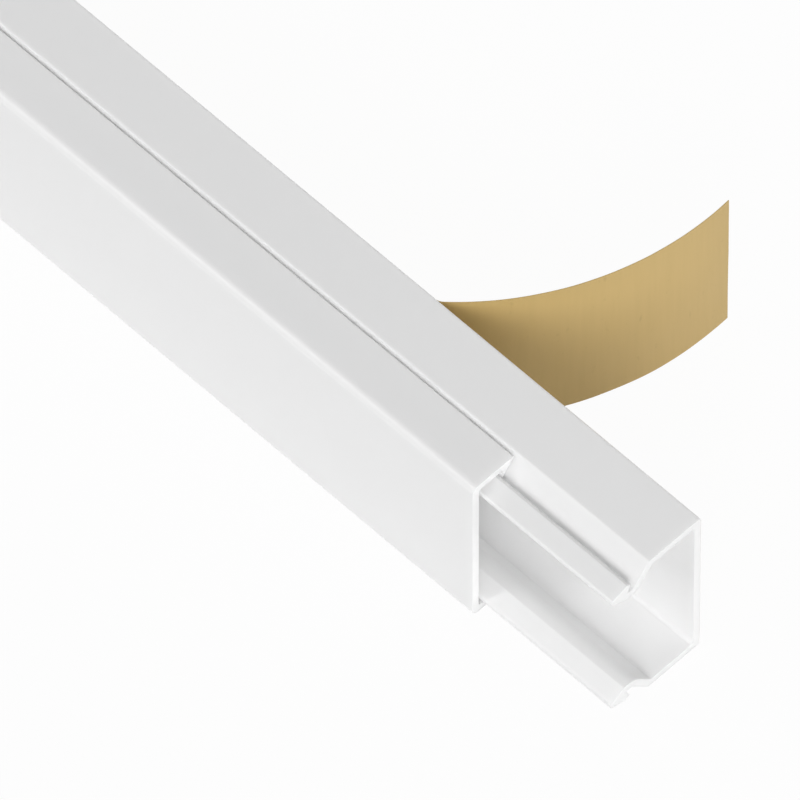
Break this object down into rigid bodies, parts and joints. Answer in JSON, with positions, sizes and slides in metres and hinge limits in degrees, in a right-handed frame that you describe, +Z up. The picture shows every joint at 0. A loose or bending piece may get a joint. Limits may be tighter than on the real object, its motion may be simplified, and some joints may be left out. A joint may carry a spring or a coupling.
{
  "type": "cord cover raceway",
  "caption": "Rigid plastic cord cover raceway: a U-shaped channel with snap lips, a clip-on cover drawn back from its end, and a tape strip with a curling paper liner.",
  "frame": {"origin": "mid-length and mid-width, on the outer face of the attached liner, which is the side that goes to the wall", "axes": "+X along the length towards the end where the cover is drawn back, +Y towards the wall, +Z up across the raceway's width"},
  "size_m": [0.42, 0.0471, 0.025],
  "materials": {
    "base_plastic": "smooth satin white PVC, as extruded",
    "cover_plastic": "smooth satin white PVC, as extruded",
    "tape": "bare adhesive on a thin white film, slightly glossy",
    "kraft_liner": "tan kraft release paper, smooth"
  },
  "bodies": {
    "base": {"base_channel": "base_plastic", "adhesive_tape": "tape", "release_liner": "kraft_liner"},
    "cover": {"snap_cover": "cover_plastic"}
  },
  "joints": [
    {"name": "cover_slide", "type": "slide", "parent": "base", "child": "cover", "axis": [1, 0, 0], "range_m": [-0.36, 0.4]}
  ]
}
